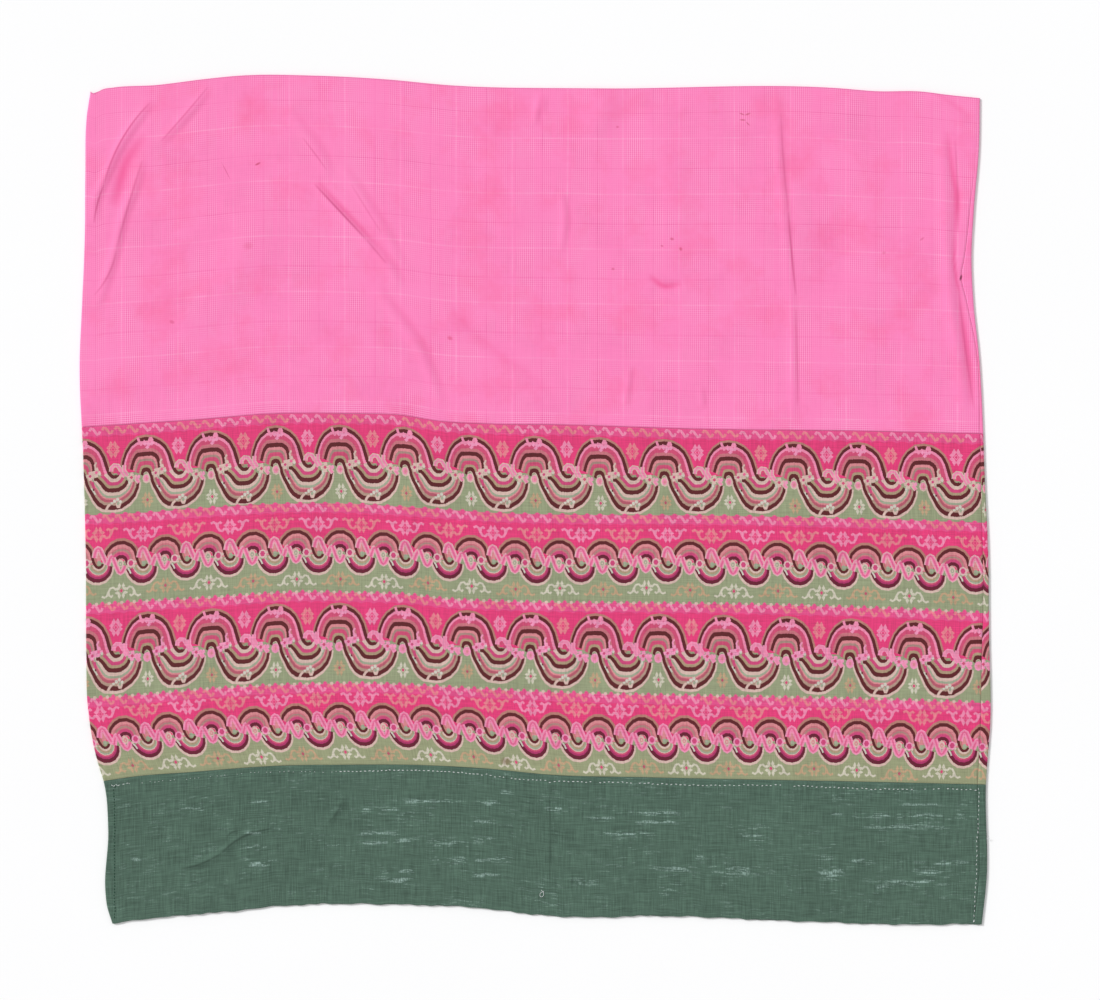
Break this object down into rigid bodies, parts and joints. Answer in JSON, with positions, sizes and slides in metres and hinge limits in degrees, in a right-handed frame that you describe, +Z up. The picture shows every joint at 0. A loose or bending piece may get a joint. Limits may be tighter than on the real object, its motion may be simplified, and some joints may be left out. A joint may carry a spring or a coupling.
{
  "type": "longyi",
  "caption": "Tube skirt of checked pink silk and wave-patterned tapestry silk with a green cotton waistband, sewn at one side and laid flat.",
  "frame": {"origin": "on the floor, under the middle of the laid garment", "axes": "+X across the tube to the fold beside the side seam, +Y from the waistband to the hem, +Z up from the floor"},
  "size_m": [0.9753, 0.9093, 0.0056],
  "materials": {
    "checked_silk": "fine checked plain-weave silk with a soft sheen",
    "tapestry_silk": "dense tapestry-woven silk, low sheen",
    "slub_cotton": "matt handwoven cotton with pale slubs"
  },
  "bodies": {
    "root": {"hem_panel": "checked_silk", "patterned_panel": "tapestry_silk", "waistband": "slub_cotton"}
  },
  "joints": []
}
